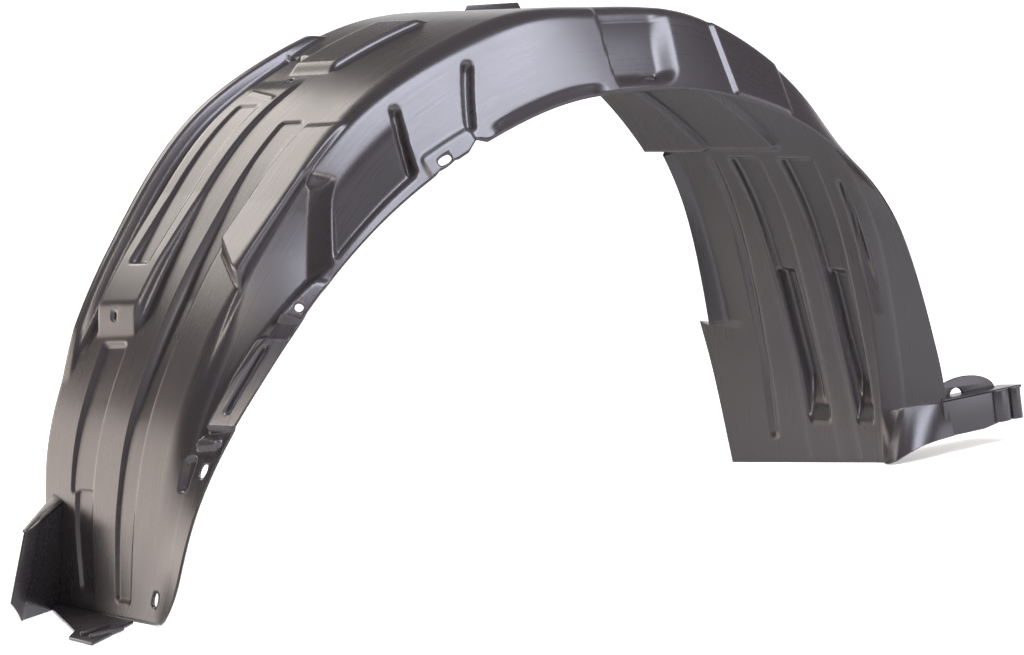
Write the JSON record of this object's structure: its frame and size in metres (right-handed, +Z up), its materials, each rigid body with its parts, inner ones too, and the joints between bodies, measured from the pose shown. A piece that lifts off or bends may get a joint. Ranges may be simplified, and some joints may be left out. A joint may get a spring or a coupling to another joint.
{
  "type": "wheel arch liner",
  "caption": "Thin moulded plastic arch that lines a car's wheel arch, with a ribbed tread, a panelled side with a lip, a stepped roof and a foot at each end.",
  "frame": {"origin": "on the floor, below the middle of the liner's box", "axes": "+X along the arch from the left foot to the right foot, +Y from the outer lip in towards the car, +Z up"},
  "size_m": [1.0532, 0.273, 0.534],
  "materials": {
    "moulded_plastic": "satin moulded polypropylene, black"
  },
  "bodies": {
    "root": {"arch_liner": "moulded_plastic"}
  },
  "joints": []
}
